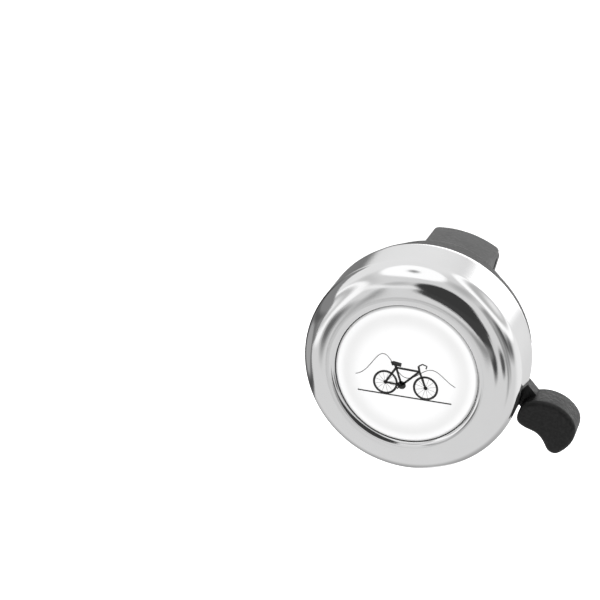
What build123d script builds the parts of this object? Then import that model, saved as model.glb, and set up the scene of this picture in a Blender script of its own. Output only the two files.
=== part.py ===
from build123d import *
import os
from math import acos, atan2, cos, degrees, hypot, pi, radians, sin, sqrt

os.makedirs("parts", exist_ok=True)

# Bicycle bell for a 22.2 mm handlebar, in millimetres.
# The origin is the middle of the handlebar's bore. X runs along the handlebar, Z up the bell's
# own axis, and the clamp's legs stand at +Y and -Y. The thumb lever comes out at +X.

# Clamp
bar_radius = 11.1
liner_thickness = 1.0
liner_width = 16.5
bore_radius = bar_radius + liner_thickness
clamp_width = 17.2
leg_radius = 25.1                # the legs' outer walls are one cylinder about the bell's axis
leg_foot = 0.5                   # the split between the legs and the lower jaw
leg_rounding = 0.6
leg_toe_rounding = 1.3
screw_offset = 18.4
screw_radius = 2.0
screw_clearance = 0.2
nut_flats = 7.0
nut_height = 3.2
nut_gap = 0.1
washer_radius = 4.2
washer_thickness = 0.8
washer_seat_gap = 0.3
screw_head_height = 2.4
screw_head_radius = 3.8
screw_head_rounding = 1.4
screw_slot_length = 4.2
screw_slot_width = 0.9
screw_slot_depth = 1.5
screw_point = 0.4
screw_tip_gap = 0.2
jaw_thickness = 3.2
jaw_lug_reach = 21.6
jaw_lug_thickness = 3.1
jaw_split = -leg_foot
jaw_lug_rounding = 2.0
jaw_rib_width = 2.0
jaw_rib_height = 0.8
jaw_rib_starts = (-5.2, 3.2)
liner_gap = 0.9                  # each liner stops this far short of the split

# Gong
rim_height = 20.5                # the gong's rim above the handlebar's axis
rim_radius = 27.2
skirt_radius = 27.0
skirt_height = 11.3              # all gong heights are above its rim
crest_outer_radius = 19.6        # the crest is a narrow flat ring
crest_inner_radius = 19.0
crest_height = 18.0
sheet = 1.0
well_roll = 1.4                  # the crest rolls over into the well that holds the badge
well_corner = 0.2
well_floor = 16.3
rim_rounding = 0.35
boss_radius = 5.0
boss_spigot_radius = 3.0
boss_foot = rim_height + 8.0

# Badge: a domed disc on a ring of adhesive
badge_radius = 17.5
badge_thickness = 0.95
badge_edge_rounding = 0.5
badge_edge_arc = 74              # degrees of rounding before the crown takes over
badge_crown = 0.4
badge_shoulder_inset = 3.4
badge_shoulder_drop = 0.1
adhesive_inset = 0.5
adhesive_thickness = 0.15

# Housing
flange_radius = 26.5
flange_foot = rim_height - 3.7
wall_top = rim_height - 0.8
wall_thickness = 1.6
cup_floor = rim_height - 5.0
floor_thickness = 2.0

saddle_thickness = 0.9           # between the handlebar's liner and the cup's floor
cup_chamfer = 0.4
flange_chamfer = 0.6
collar_depth = 1.8               # the flange reaches this much lower over each leg
collar_half_width = 12.6
mouth_chamfer = 0.3
step_rise = 1.8                  # the cup narrows this far above its floor
post_boss_radius = 3.0
post_boss_height = 2.7
pin_boss_height = 0.4
lever_boss_radius = 3.4
idler_boss_radius = 2.6
under_boss_radius = 4.0          # the lump under the floor that holds the lever's pin
under_boss_depth = 1.3
pin_hole_depth = 0.8             # the lever's pin goes this far into that lump
rib_width = 1.2
rib_height = 0.5
rib_inset = 0.5
rib_from, rib_to = 190, 260
window_gap = 0.4
window_from, window_to = -15.0, 22.0
window_inset = 4.0
drain_places = [(-15, -6), (-15, 0)]
drain_radius = 1.2

# Gear train: toothed sector on the lever, compound idler, rotor pinion
module = 0.8
pressure_angle = radians(25)
addendum = 0.75 * module
dedendum = 1.0 * module
backlash = 0.25
sector_teeth = 30                # on the full circle that the sector is cut from
idler_pinion_teeth = 8
idler_wheel_teeth = 20
rotor_teeth = 10
running_clearance = 0.05
axial_gap = 0.1
idler_recess_outer, idler_recess_inner = 6.2, 2.6
idler_recess_depth = 0.4
pin_chamfer = 0.25

# Lever
pivot_x, pivot_y = 15.5, 4.7
lever_heading = -33.8
arm_width = 5.2
arm_shoulder = 5.2               # the arm has its full height from here outwards
arm_reach = 19.0
arm_foot = rim_height - 4.2
arm_top = rim_height - 0.5
sector_top = arm_foot + 2.0
pad_foot = rim_height - 4.4
pad_top = rim_height + 4.0
pad_top_rounding = 1.1
pad_foot_rounding = 0.4
hub_radius = 2.6
web_radius = 4.8                 # the round middle of the toothed sector
sector_first, sector_last = -3, 1    # teeth that are kept, counted from the one that meshes
lever_pin_radius = 1.6
idler_pin_radius = 1.3

# Post, and the rings on it
post_radius = 2.0
post_tip_gap = 0.4
post_chamfer = 0.5
thrust_washer_thickness = 0.3
clip_height = 0.55               # above the striker bar
clip_thickness = 0.6
clip_radius = 3.4
clip_mouth = 2.9
clip_ear_radius = 2.9
clip_ear_angles = (200, 340)
clip_ear_hole = 0.35
groove_radius = 1.6

# Rotor and clappers
rotor_hub_radius = 3.2
spigot_radius = 2.6
rivet_over = 0.3                 # how far the pinion is riveted over the bar
bar_foot = rim_height + 2.1
bar_thickness = 1.0
bar_width = 6.0
bar_middle_radius = 5.2
bar_chamfer = 0.15
rotor_heading = 120.0            # where the striker bar points at rest
rivet_offset = 17.5
rivet_shank_radius = 1.2
rivet_foot_radius = 2.3
rivet_foot_height = 0.5
rivet_head_radius = 2.7
rivet_head_height = 0.9
rivet_head_rounding = 0.6
clapper_radius = 5.2
clapper_thickness = 1.8
clapper_rounding = 0.4
clapper_play = 0.6               # how far a clapper slides out along the bar
stud_heading = 30.0
stud_gap = 0.15
stud_radius = 1.3
stud_length = 3.0
stud_height = rim_height + 3.9
stud_seat_inset = 0.08

# Bridge plate over the gears
bridge_foot = rim_height + 0.2
bridge_thickness = 0.8
bridge_top = bridge_foot + bridge_thickness
bridge_middle_radius = 6.5
bridge_end_radius = 4.0
bridge_hub_gap = 0.5
pillar_places = [(-12.5, 8.0), (8.0, -14.5)]
pillar_radius = 2.4
bridge_screw_radius = 1.2
bridge_screw_length = 4.2
bridge_screw_point = 0.4
bridge_hole_depth = 4.5
bridge_head_radius = 2.0
bridge_head_sink = 0.05
bridge_head_depth = 0.8
bridge_slot_length = 2.2
bridge_slot = 0.5                # width and depth of the cross in the head
spring_wire = 0.3
spring_radius = 3.3
spring_pitch = 0.62
spring_turns = 2.25
spring_lift = 0.15               # the lowest coil stands off the sector by this
spring_leg = 3.2                 # the straight end on the lever
anchor_leg = 4.4                 # the straight end at the bridge plate's peg
anchor_radius = 0.5
anchor_length = 1.6
anchor_gap = 0.05
anchor_inset = 0.4

# Gear centres
sector_pitch = module * sector_teeth / 2
idler_pinion_pitch = module * idler_pinion_teeth / 2
idler_wheel_pitch = module * idler_wheel_teeth / 2
rotor_pitch = module * rotor_teeth / 2
rotor_to_idler = rotor_pitch + idler_wheel_pitch
lever_to_idler = sector_pitch + idler_pinion_pitch
pivot = (pivot_x, pivot_y)
rotor_to_lever = hypot(pivot_x, pivot_y)
turn_at_rotor = degrees(
    acos(
        (rotor_to_idler**2 + rotor_to_lever**2 - lever_to_idler**2)
        / (2 * rotor_to_idler * rotor_to_lever)
    )
)
idler_heading = degrees(atan2(pivot_y, pivot_x)) + turn_at_rotor
idler_x = rotor_to_idler * cos(radians(idler_heading))
idler_y = rotor_to_idler * sin(radians(idler_heading))
idler_place = (idler_x, idler_y)
mesh_heading = degrees(atan2(idler_y - pivot_y, idler_x - pivot_x))    # from the lever to the idler


def polar(radius, angle, centre=(0, 0)):
    """A point at a radius and an angle in degrees about a centre."""
    return (centre[0] + radius * cos(radians(angle)), centre[1] + radius * sin(radians(angle)))


def involute(radius, base):
    """The involute function at a radius, in radians."""
    if radius <= base:
        return 0.0
    return sqrt((radius / base) ** 2 - 1) - acos(base / radius)


def tooth_outline(teeth):
    """One involute tooth that points along +X, thinned on both flanks by the backlash."""
    pitch = module * teeth / 2
    base = pitch * cos(pressure_angle)
    root, tip = pitch - dedendum, pitch + addendum
    half_angle = (pi * module / 2 - backlash) / 2 / pitch + involute(pitch, base)
    steps = 5
    start = max(base, root)
    flank = [(root - 0.2, half_angle)]
    for step in range(steps + 1):
        radius = start + (tip - start) * step / steps
        flank.append((radius, half_angle - involute(radius, base)))
    right = [(r * cos(a), -r * sin(a)) for r, a in flank]
    left = [(x, -y) for x, y in reversed(right)]
    return right + left


def toothed_wheel(teeth, first_tooth):
    """Adds a whole wheel to the sketch that is open, with one tooth at the angle first_tooth."""
    Circle(module * teeth / 2 - dedendum)
    with PolarLocations(0, teeth, start_angle=first_tooth):
        Polygon(*tooth_outline(teeth), align=None)


def gong_side(inset):
    """One face of the gong's sheet, from the rim to the edge of the well's flat floor."""
    crest = crest_height - inset
    roll_height = crest_height - well_roll
    wall = crest_inner_radius - well_roll + inset
    corner_height = well_floor + well_corner
    Line((rim_radius - inset, 0), (skirt_radius - inset, skirt_height))
    EllipticalCenterArc(
        (crest_outer_radius, skirt_height),
        skirt_radius - crest_outer_radius - inset,
        crest - skirt_height,
        start_angle=0,
        arc_size=90,
    )
    Line((crest_outer_radius, crest), (crest_inner_radius, crest))
    CenterArc((crest_inner_radius, roll_height), well_roll - inset, 90, 90)
    Line((wall, roll_height), (wall, corner_height))
    CenterArc((wall - well_corner - inset, corner_height), well_corner + inset, 0, -90)


def write(piece, name):
    """Labels a finished piece and writes its STEP file."""
    piece.part.label = name
    export_step(piece.part, f"parts/{name}.step")


# ---------------------------------------------------------------- gong

floor_edge = crest_inner_radius - well_roll - well_corner

with BuildPart() as gong_dome:
    with BuildSketch(Plane(origin=(0, 0, rim_height), x_dir=(1, 0, 0), z_dir=(0, -1, 0))):
        with BuildLine():
            gong_side(0)
            Line((floor_edge, well_floor), (boss_spigot_radius, well_floor))
            Line((boss_spigot_radius, well_floor), (boss_spigot_radius, well_floor - sheet))
            Line((boss_spigot_radius, well_floor - sheet), (floor_edge, well_floor - sheet))
            gong_side(sheet)
            Line((rim_radius - sheet, 0), (rim_radius, 0))
        make_face()
    revolve(axis=Axis.Z)
    rim_edges = gong_dome.edges().filter_by(GeomType.CIRCLE).group_by(Axis.Z)[0]
    fillet(rim_edges, radius=rim_rounding)
write(gong_dome, "gong_dome")

boss_shoulder = rim_height + well_floor - sheet
post_top = boss_shoulder - post_tip_gap

with BuildPart() as dome_threaded_boss:
    with BuildSketch(Plane.XY.offset(boss_foot)):
        RegularPolygon(radius=boss_radius, side_count=6)
    extrude(amount=boss_shoulder - boss_foot)
    with BuildSketch(Plane.XY.offset(boss_shoulder)):
        Circle(boss_spigot_radius)
    extrude(amount=sheet)
    with BuildSketch(Plane.XY.offset(boss_foot)):
        Circle(post_radius)
    extrude(amount=post_top - boss_foot, mode=Mode.SUBTRACT)
write(dome_threaded_boss, "dome_threaded_boss")

stud_reach = rivet_offset + clapper_radius + clapper_play + stud_gap
stud_seat = rim_radius - sheet - stud_seat_inset

with BuildPart() as striking_studs:
    for heading in (stud_heading, stud_heading + 180):
        outward = Vector(cos(radians(heading)), sin(radians(heading)), 0)
        base = Plane(origin=outward * stud_reach + Vector(0, 0, stud_height), z_dir=outward)
        with BuildSketch(base):
            Circle(stud_radius)
        extrude(amount=stud_length)
    with BuildSketch(Plane.XY.offset(rim_height)):
        Circle(stud_seat)
    extrude(amount=skirt_height, mode=Mode.INTERSECT)
write(striking_studs, "striking_studs")

with BuildPart() as badge_adhesive:
    with BuildSketch(Plane.XY.offset(rim_height + well_floor)):
        Circle(badge_radius - adhesive_inset)
    extrude(amount=adhesive_thickness)
write(badge_adhesive, "badge_adhesive")

badge_foot = rim_height + well_floor + adhesive_thickness
badge_edge_top = badge_foot + badge_thickness
badge_top = badge_edge_top + badge_crown
badge_rounding_height = badge_edge_top - badge_edge_rounding
badge_shoulder = (badge_radius - badge_shoulder_inset, badge_top - badge_shoulder_drop)

with BuildPart() as badge_disc:
    with BuildSketch(Plane.XZ):
        with BuildLine():
            Line((0, badge_foot), (badge_radius, badge_foot))
            Line((badge_radius, badge_foot), (badge_radius, badge_rounding_height))
            rounding = CenterArc(
                (badge_radius - badge_edge_rounding, badge_rounding_height),
                badge_edge_rounding, 0, badge_edge_arc,
            )
            Spline(rounding @ 1, badge_shoulder, (0, badge_top), tangents=[rounding % 1, (-1, 0)])
            Line((0, badge_top), (0, badge_foot))
        make_face()
    revolve(axis=Axis.Z)
write(badge_disc, "badge_disc")

# ---------------------------------------------------------------- housing

wall_inside = flange_radius - wall_thickness
cup_inside = leg_radius - wall_thickness
cup_foot = cup_floor - floor_thickness
step_height = cup_floor + step_rise
window_foot = arm_foot - window_gap
window_back = cup_inside - window_inset
window_front = flange_radius + window_inset
nut_places = [(0, screw_offset), (0, -screw_offset)]
post_foot = bore_radius + saddle_thickness
post_boss_top = cup_floor + post_boss_height

with BuildPart() as collars:
    with BuildSketch(Plane.XZ):
        with BuildLine():
            ThreePointArc(
                (-collar_half_width, flange_foot + flange_chamfer),
                (0, flange_foot - collar_depth),
                (collar_half_width, flange_foot + flange_chamfer),
            )
            Line(
                (collar_half_width, flange_foot + flange_chamfer),
                (-collar_half_width, flange_foot + flange_chamfer),
            )
        make_face()
    extrude(amount=flange_radius, both=True)
    with BuildSketch(Plane.XY):
        Circle(flange_radius)
        Circle(leg_radius - wall_thickness / 2, mode=Mode.SUBTRACT)
    extrude(amount=rim_height, mode=Mode.INTERSECT)

with BuildPart() as base_housing:
    # the saddle block and both legs, rounded at the feet
    with BuildSketch(Plane.XZ) as leg_front:
        with Locations((0, leg_foot)):
            Rectangle(clamp_width, cup_floor - leg_foot, align=(Align.CENTER, Align.MIN))
        fillet(leg_front.vertices().group_by(Axis.Y)[0], radius=leg_toe_rounding)
    extrude(amount=flange_radius, both=True)
    with BuildSketch(Plane.XY):
        Circle(leg_radius)
    extrude(amount=cup_floor, mode=Mode.INTERSECT)
    leg_corners = base_housing.edges().filter_by(Axis.Z)
    fillet(leg_corners, radius=leg_rounding)
    with BuildSketch(Plane.YZ):
        Circle(bore_radius)
    extrude(amount=clamp_width, both=True, mode=Mode.SUBTRACT)
    # the cup, with the flange round its mouth
    with BuildSketch(Plane.XZ):
        with BuildLine():
            Polyline(
                (0, cup_foot),
                (leg_radius - cup_chamfer, cup_foot),
                (leg_radius, cup_foot + cup_chamfer),
                (leg_radius, flange_foot - cup_chamfer),
                (flange_radius - flange_chamfer, flange_foot),
                (flange_radius, flange_foot + flange_chamfer),
                (flange_radius, wall_top - mouth_chamfer),
                (flange_radius - mouth_chamfer, wall_top),
                (wall_inside, wall_top),
                (wall_inside, step_height),
                (cup_inside, step_height),
                (cup_inside, cup_floor),
                (0, cup_floor),
                close=True,
            )
        make_face()
    revolve(axis=Axis.Z)
    add(collars)
    # bosses for the pins, and the pillars for the bridge plate
    with BuildSketch(Plane.XY.offset(cup_foot - under_boss_depth)):
        with Locations(pivot):
            Circle(under_boss_radius)
    extrude(amount=under_boss_depth + floor_thickness / 2)
    with BuildSketch(Plane.XY.offset(cup_floor)):
        with Locations(pivot):
            Circle(lever_boss_radius)
        with Locations(idler_place):
            Circle(idler_boss_radius)
    extrude(amount=pin_boss_height)
    with BuildSketch(Plane.XY.offset(cup_floor)):
        Circle(post_boss_radius)
    extrude(amount=post_boss_top - cup_floor)
    with BuildSketch(Plane.XY.offset(cup_floor)):
        with Locations(*pillar_places):
            Circle(pillar_radius)
    extrude(amount=bridge_foot - cup_floor)
    # stiffening ribs on the floor, between the post's boss and the wall
    with BuildSketch(Plane.XY.offset(cup_floor)):
        for heading in (rib_from, (rib_from + rib_to) / 2, rib_to):
            with Locations(Location((0, 0, 0), (0, 0, 1), heading)):
                with Locations((rib_inset, 0)):
                    Rectangle(cup_inside, rib_width, align=(Align.MIN, Align.CENTER))
    extrude(amount=rib_height)
    # the window that the lever swings in
    with BuildSketch(Plane.XY.offset(window_foot)):
        with BuildLine():
            Polyline(
                polar(window_back, window_from + window_inset),
                polar(window_front, window_from),
                polar(window_front, window_to),
                polar(window_back, window_to),
                close=True,
            )
        make_face()
    extrude(amount=bridge_top - window_foot, mode=Mode.SUBTRACT)
    # holes
    with BuildSketch(Plane.XY.offset(leg_foot)):
        with Locations(*nut_places):
            Circle(screw_radius + screw_clearance)
    extrude(amount=cup_floor - leg_foot, mode=Mode.SUBTRACT)
    with BuildSketch(Plane.XY.offset(cup_floor - nut_height)):
        with Locations(*nut_places):
            RegularPolygon(radius=nut_flats / 2 + nut_gap, side_count=6, major_radius=False)
    extrude(amount=nut_height, mode=Mode.SUBTRACT)
    with BuildSketch(Plane.XY.offset(post_foot)):
        Circle(post_radius)
    extrude(amount=post_boss_top - post_foot, mode=Mode.SUBTRACT)
    with BuildSketch(Plane.XY.offset(cup_foot)):
        with Locations(idler_place):
            Circle(idler_pin_radius)
    extrude(amount=floor_thickness + pin_boss_height, mode=Mode.SUBTRACT)
    with BuildSketch(Plane.XY.offset(cup_foot - pin_hole_depth)):
        with Locations(pivot):
            Circle(lever_pin_radius)
    pin_hole_length = pin_hole_depth + floor_thickness + pin_boss_height
    extrude(amount=pin_hole_length, mode=Mode.SUBTRACT)
    with BuildSketch(Plane.XY.offset(bridge_foot - bridge_hole_depth)):
        with Locations(*pillar_places):
            Circle(bridge_screw_radius)
    extrude(amount=bridge_hole_depth, mode=Mode.SUBTRACT)
    # drain holes
    with BuildSketch(Plane.XY.offset(cup_foot)):
        with Locations(*drain_places):
            Circle(drain_radius)
    extrude(amount=floor_thickness, mode=Mode.SUBTRACT)
write(base_housing, "base_housing")

# ---------------------------------------------------------------- post and its rings

rotor_foot = post_boss_top + thrust_washer_thickness + running_clearance
clip_foot = bar_foot + bar_thickness + clip_height
lock_nut_foot = boss_foot - nut_height

with BuildPart() as centre_post:
    with BuildSketch(Plane.XY.offset(post_foot)):
        Circle(post_radius)
    extrude(amount=post_top - post_foot)
    chamfer(centre_post.edges().group_by(Axis.Z)[-1], length=post_chamfer)
    with BuildSketch(Plane.XY.offset(clip_foot)):
        Circle(clip_radius)
        Circle(groove_radius, mode=Mode.SUBTRACT)
    extrude(amount=clip_thickness, mode=Mode.SUBTRACT)
write(centre_post, "centre_post")

with BuildPart() as post_retaining_clip:
    with BuildSketch(Plane.XY.offset(clip_foot + running_clearance)):
        Circle(clip_radius)
        Circle(groove_radius, mode=Mode.SUBTRACT)
        Rectangle(clip_mouth, clip_radius + 1, align=(Align.CENTER, Align.MIN), mode=Mode.SUBTRACT)
        with Locations(*[polar(clip_ear_radius, angle) for angle in clip_ear_angles]):
            Circle(clip_ear_hole, mode=Mode.SUBTRACT)
    extrude(amount=clip_thickness - 2 * running_clearance)
write(post_retaining_clip, "post_retaining_clip")

with BuildPart() as rotor_thrust_washer:
    with BuildSketch(Plane.XY.offset(post_boss_top)):
        Circle(post_boss_radius)
        Circle(post_radius + running_clearance, mode=Mode.SUBTRACT)
    extrude(amount=thrust_washer_thickness)
write(rotor_thrust_washer, "rotor_thrust_washer")

with BuildPart() as dome_lock_nut:
    with BuildSketch(Plane.XY.offset(lock_nut_foot)):
        RegularPolygon(radius=nut_flats / 2, side_count=6, major_radius=False)
        Circle(post_radius, mode=Mode.SUBTRACT)
    extrude(amount=nut_height)
write(dome_lock_nut, "dome_lock_nut")

# ---------------------------------------------------------------- gears

idler_foot = cup_floor + pin_boss_height + axial_gap
idler_wheel_foot = sector_top + pin_boss_height
idler_top = arm_top + axial_gap
gap_to_lever = mesh_heading + 180
gap_to_idler = idler_heading + 180
idler_tooth_angle = 180 / idler_pinion_teeth
rotor_tooth_angle = 180 / rotor_teeth

with BuildPart() as idler_gear:
    with BuildSketch(Plane.XY.offset(idler_foot)):
        with Locations(idler_place):
            toothed_wheel(idler_pinion_teeth, gap_to_lever + idler_tooth_angle)
    extrude(amount=idler_wheel_foot - idler_foot)
    with BuildSketch(Plane.XY.offset(idler_wheel_foot)):
        with Locations(idler_place):
            toothed_wheel(idler_wheel_teeth, gap_to_idler)
    extrude(amount=idler_top - idler_wheel_foot)
    with BuildSketch(Plane.XY.offset(idler_foot)):
        with Locations(idler_place):
            Circle(idler_pin_radius + running_clearance)
    extrude(amount=idler_top - idler_foot, mode=Mode.SUBTRACT)
    with BuildSketch(Plane.XY.offset(idler_top - idler_recess_depth)):
        with Locations(idler_place):
            Circle(idler_recess_outer)
            Circle(idler_recess_inner, mode=Mode.SUBTRACT)
    extrude(amount=idler_recess_depth, mode=Mode.SUBTRACT)
write(idler_gear, "idler_gear")

with BuildPart() as idler_pin:
    with BuildSketch(Plane.XY.offset(cup_foot)):
        with Locations(idler_place):
            Circle(idler_pin_radius)
    extrude(amount=bridge_top - cup_foot)
    chamfer(idler_pin.edges().group_by(Axis.Z)[-1], length=pin_chamfer)
write(idler_pin, "idler_pin")

with BuildPart() as rotor_pinion:
    with BuildSketch(Plane.XY.offset(rotor_foot)):
        toothed_wheel(rotor_teeth, idler_heading + rotor_tooth_angle)
    extrude(amount=idler_top - rotor_foot)
    with BuildSketch(Plane.XY.offset(idler_top)):
        Circle(rotor_hub_radius)
    extrude(amount=bar_foot - idler_top)
    with BuildSketch(Plane.XY.offset(bar_foot)):
        Circle(spigot_radius)
    extrude(amount=bar_thickness + rivet_over)
    with BuildSketch(Plane.XY.offset(rotor_foot)):
        Circle(post_radius + running_clearance)
    extrude(amount=clip_foot - rotor_foot, mode=Mode.SUBTRACT)
write(rotor_pinion, "rotor_pinion")

# ---------------------------------------------------------------- striker and clappers

rivet_places = [polar(rivet_offset, rotor_heading), polar(rivet_offset, rotor_heading + 180)]
bar_top = bar_foot + bar_thickness
clapper_foot = bar_top + axial_gap
rivet_head_foot = clapper_foot + clapper_thickness + axial_gap

with BuildPart() as striker_bar:
    with BuildSketch(Plane.XY.offset(bar_foot)):
        SlotCenterToCenter(2 * rivet_offset, bar_width, rotation=rotor_heading)
        Circle(bar_middle_radius)
        Circle(spigot_radius, mode=Mode.SUBTRACT)
        with Locations(*rivet_places):
            Circle(rivet_shank_radius, mode=Mode.SUBTRACT)
    extrude(amount=bar_thickness)
    bar_rims = striker_bar.faces().filter_by(Axis.Z).sort_by(Axis.Z)[-1].outer_wire().edges()
    chamfer(bar_rims, length=bar_chamfer)
write(striker_bar, "striker_bar")

with BuildPart() as striker_rivets:
    with BuildSketch(Plane.XY.offset(bar_foot - rivet_foot_height)):
        with Locations(*rivet_places):
            Circle(rivet_foot_radius)
    extrude(amount=rivet_foot_height)
    with BuildSketch(Plane.XY.offset(bar_foot)):
        with Locations(*rivet_places):
            Circle(rivet_shank_radius)
    extrude(amount=rivet_head_foot - bar_foot)
    with BuildSketch(Plane.XY.offset(rivet_head_foot)):
        with Locations(*rivet_places):
            Circle(rivet_head_radius)
    extrude(amount=rivet_head_height)
    fillet(striker_rivets.edges().group_by(Axis.Z)[-1], radius=rivet_head_rounding)
write(striker_rivets, "striker_rivets")

for suffix, place in zip("ab", rivet_places):
    with BuildPart() as clapper:
        with BuildSketch(Plane.XY.offset(clapper_foot)):
            with Locations(place):
                Circle(clapper_radius)
                Circle(rivet_shank_radius + clapper_play + axial_gap, mode=Mode.SUBTRACT)
        extrude(amount=clapper_thickness)
        outer_edges = clapper.edges().filter_by(GeomType.CIRCLE).filter_by(
            lambda edge: edge.radius > clapper_radius - 0.01
        )
        fillet(outer_edges, radius=clapper_rounding)
    write(clapper, f"clapper_{suffix}")

# ---------------------------------------------------------------- thumb lever

sector_step = 360 / sector_teeth
sector_headings = [mesh_heading + sector_step * step for step in range(sector_first, sector_last + 1)]
sector_from = sector_headings[0] - sector_step / 2
sector_to = sector_headings[-1] + sector_step / 2
sector_root = sector_pitch - dedendum
arm_across = Vector(1, 0).rotate(Axis.Z, lever_heading + 90)


def on_arm(along, across):
    """A point beside the arm's centre line, from the pivot outwards."""
    x, y = polar(along, lever_heading, pivot)
    return (x + across * arm_across.X, y + across * arm_across.Y)


# the pad's outline in plan: a comma with its tail towards the rider's thumb
pad_outline = [
    (28.1, -3.2),
    (30.25, -1.6),
    (34.45, -0.7),
    (38.75, -1.9),
    (41.6, -4.8),
    (41.9, -8.3),
    (40.5, -11.65),
    (38.75, -13.25),
    (37.15, -13.1),
    (35.6, -11.6),
    (33.0, -9.75),
    (29.8, -9.3),
    (27.65, -8.3),
    (27.25, -5.75),
]

with BuildPart() as thumb_lever:
    with BuildSketch(Plane.XY.offset(pad_foot)):
        with BuildLine():
            Spline(*pad_outline, periodic=True)
        make_face()
    extrude(amount=pad_top - pad_foot)
    fillet(thumb_lever.edges().group_by(Axis.Z)[-1], radius=pad_top_rounding)
    fillet(thumb_lever.edges().group_by(Axis.Z)[0], radius=pad_foot_rounding)
    with BuildSketch(Plane.XY.offset(arm_foot)):
        with Locations(pivot):
            Circle(web_radius)
        with BuildLine():
            Polyline(pivot, polar(sector_root, sector_from, pivot))
            ThreePointArc(
                polar(sector_root, sector_from, pivot),
                polar(sector_root, (sector_from + sector_to) / 2, pivot),
                polar(sector_root, sector_to, pivot),
            )
            Polyline(polar(sector_root, sector_to, pivot), pivot)
        make_face()
        for heading in sector_headings:
            with Locations(Location((pivot_x, pivot_y), (0, 0, 1), heading)):
                Polygon(*tooth_outline(sector_teeth), align=None)
        Polygon(
            on_arm(0, arm_width / 2),
            on_arm(0, -arm_width / 2),
            on_arm(arm_shoulder + 1, -arm_width / 2),
            on_arm(arm_shoulder + 1, arm_width / 2),
            align=None,
        )
    extrude(amount=sector_top - arm_foot)
    with BuildSketch(Plane.XY.offset(arm_foot)):
        Polygon(
            on_arm(arm_shoulder, arm_width / 2),
            on_arm(arm_shoulder, -arm_width / 2),
            on_arm(arm_reach, -arm_width / 2),
            on_arm(arm_reach, arm_width / 2),
            align=None,
        )
    extrude(amount=arm_top - arm_foot)
    with BuildSketch(Plane.XY.offset(arm_foot - axial_gap)):
        with Locations(pivot):
            Circle(hub_radius)
    extrude(amount=arm_top - arm_foot + axial_gap)
    with BuildSketch(Plane.XY.offset(arm_foot - axial_gap)):
        with Locations(pivot):
            Circle(lever_pin_radius + running_clearance)
    extrude(amount=arm_top - arm_foot + axial_gap, mode=Mode.SUBTRACT)
write(thumb_lever, "thumb_lever")

with BuildPart() as lever_pivot_pin:
    with BuildSketch(Plane.XY.offset(cup_foot - pin_hole_depth)):
        with Locations(pivot):
            Circle(lever_pin_radius)
    extrude(amount=bridge_top - cup_foot + pin_hole_depth)
    chamfer(lever_pivot_pin.edges().group_by(Axis.Z)[-1], length=pin_chamfer)
write(lever_pivot_pin, "lever_pivot_pin")

spring_foot = sector_top + spring_wire + spring_lift

with BuildPart() as lever_return_spring:
    with BuildLine():
        coil = Helix(
            pitch=spring_pitch,
            height=spring_pitch * spring_turns,
            radius=spring_radius,
            center=(pivot_x, pivot_y, spring_foot),
        )
        arm_leg = Line(coil @ 0 - (coil % 0) * spring_leg, coil @ 0)
        Line(coil @ 1, coil @ 1 + (coil % 1) * anchor_leg)
    with BuildSketch(Plane(origin=arm_leg @ 0, z_dir=arm_leg % 0)):
        Circle(spring_wire)
    sweep()
write(lever_return_spring, "lever_return_spring")

# ---------------------------------------------------------------- bridge plate

anchor_place = (
    pivot_x - anchor_leg + anchor_inset,
    pivot_y + spring_radius + spring_wire + anchor_radius + anchor_gap,
)

with BuildPart() as gear_bridge_plate:
    with BuildSketch(Plane.XY.offset(bridge_foot)):
        Circle(bridge_middle_radius)
        with Locations(pivot, idler_place, *pillar_places):
            Circle(bridge_end_radius)
        make_hull()
        Circle(rotor_hub_radius + bridge_hub_gap, mode=Mode.SUBTRACT)
        with Locations(pivot):
            Circle(lever_pin_radius, mode=Mode.SUBTRACT)
        with Locations(idler_place):
            Circle(idler_pin_radius, mode=Mode.SUBTRACT)
    extrude(amount=bridge_thickness)
    with Locations(*[(x, y, bridge_top) for x, y in pillar_places]):
        CounterSinkHole(
            bridge_screw_radius + axial_gap, bridge_head_radius + axial_gap, depth=bridge_thickness
        )
    with BuildSketch(Plane.XY.offset(bridge_foot - anchor_length)):
        with Locations(anchor_place):
            Circle(anchor_radius)
    extrude(amount=anchor_length)
write(gear_bridge_plate, "gear_bridge_plate")

bridge_head_top = bridge_top - bridge_head_sink
bridge_screw_tip = bridge_foot - bridge_screw_length

with BuildPart() as bridge_plate_screws:
    for x, y in pillar_places:
        with BuildSketch(Plane(origin=(x, y, 0), x_dir=(1, 0, 0), z_dir=(0, -1, 0))):
            with BuildLine():
                Polyline(
                    (0, bridge_screw_tip),
                    (bridge_screw_radius - bridge_screw_point, bridge_screw_tip),
                    (bridge_screw_radius, bridge_screw_tip + bridge_screw_point),
                    (bridge_screw_radius, bridge_head_top - bridge_head_depth),
                    (bridge_head_radius, bridge_head_top),
                    (0, bridge_head_top),
                    close=True,
                )
            make_face()
        revolve(axis=Axis((x, y, 0), (0, 0, 1)))
        with BuildSketch(Plane.XY.offset(bridge_head_top)):
            with Locations((x, y)):
                Rectangle(bridge_slot_length, bridge_slot)
                Rectangle(bridge_slot, bridge_slot_length)
        extrude(amount=-bridge_slot, mode=Mode.SUBTRACT)
write(bridge_plate_screws, "bridge_plate_screws")

# ---------------------------------------------------------------- clamp

lug_foot = jaw_split - jaw_lug_thickness
jaw_radius = bore_radius + jaw_thickness

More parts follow.
